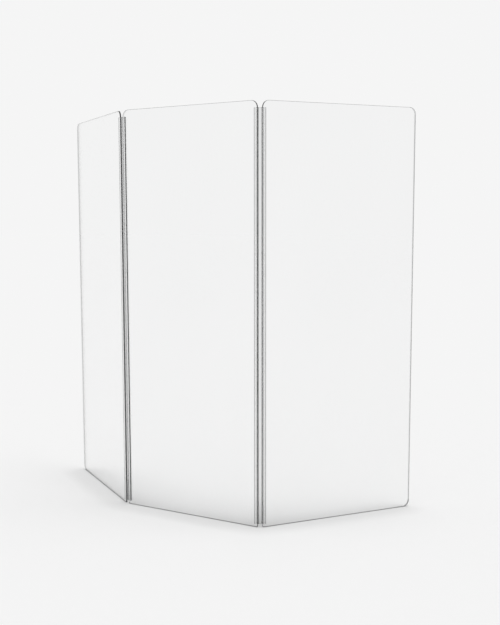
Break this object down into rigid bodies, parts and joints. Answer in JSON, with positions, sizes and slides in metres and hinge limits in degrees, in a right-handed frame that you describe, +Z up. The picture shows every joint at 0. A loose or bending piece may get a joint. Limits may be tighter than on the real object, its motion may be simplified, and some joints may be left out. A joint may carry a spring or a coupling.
{
  "type": "clear panel room shield",
  "caption": "Free-standing folding sound shield: tall clear sheets with rounded corners, joined edge to edge by full-height clear flexible hinges, shown folded in a shallow bay.",
  "frame": {"origin": "middle of the bottom edge of the middle sheet, on the floor", "axes": "+X along the middle sheet to the right as seen from the front, +Y from the front to the back, where the wings are folded to, +Z up"},
  "size_m": [1.4957, 0.5913, 1.524],
  "materials": {
    "clear_sheet": "polished",
    "rigid_channel": "gloss",
    "soft_web": "satin"
  },
  "bodies": {
    "middle": {"middle_panel": "clear_sheet", "left_hinge_middle_channel": "rigid_channel", "right_hinge_middle_channel": "rigid_channel"},
    "left_web": {"left_hinge_web": "soft_web"},
    "left_wing": {"left_panel": "clear_sheet", "left_hinge_wing_channel": "rigid_channel"},
    "right_web": {"right_hinge_web": "soft_web"},
    "right_wing": {"right_panel": "clear_sheet", "right_hinge_wing_channel": "rigid_channel"}
  },
  "joints": [
    {"name": "left_web_pivot", "type": "hinge", "parent": "middle", "child": "left_web", "pos_m": [-0.3083, 0, 0], "axis": [0, 0, -1], "range_deg": [-104.05, 13.45], "deforming": ["left_hinge_web"]},
    {"name": "left_wing_pivot", "type": "hinge", "parent": "left_web", "child": "left_wing", "pos_m": [-0.31904, 0.00319, 0], "axis": [0, 0, -1], "range_deg": [-104.05, 13.45]},
    {"name": "right_web_pivot", "type": "hinge", "parent": "middle", "child": "right_web", "pos_m": [0.3083, 0, 0], "axis": [0, 0, 1], "range_deg": [-61.1, 56.4], "deforming": ["right_hinge_web"]},
    {"name": "right_wing_pivot", "type": "hinge", "parent": "right_web", "child": "right_wing", "pos_m": [0.31789, 0.00579, 0], "axis": [0, 0, 1], "range_deg": [-61.1, 56.4]}
  ],
  "couplings": [
    {"joint": "left_wing_pivot", "follows": "left_web_pivot", "ratio": 1},
    {"joint": "right_wing_pivot", "follows": "right_web_pivot", "ratio": 1}
  ]
}
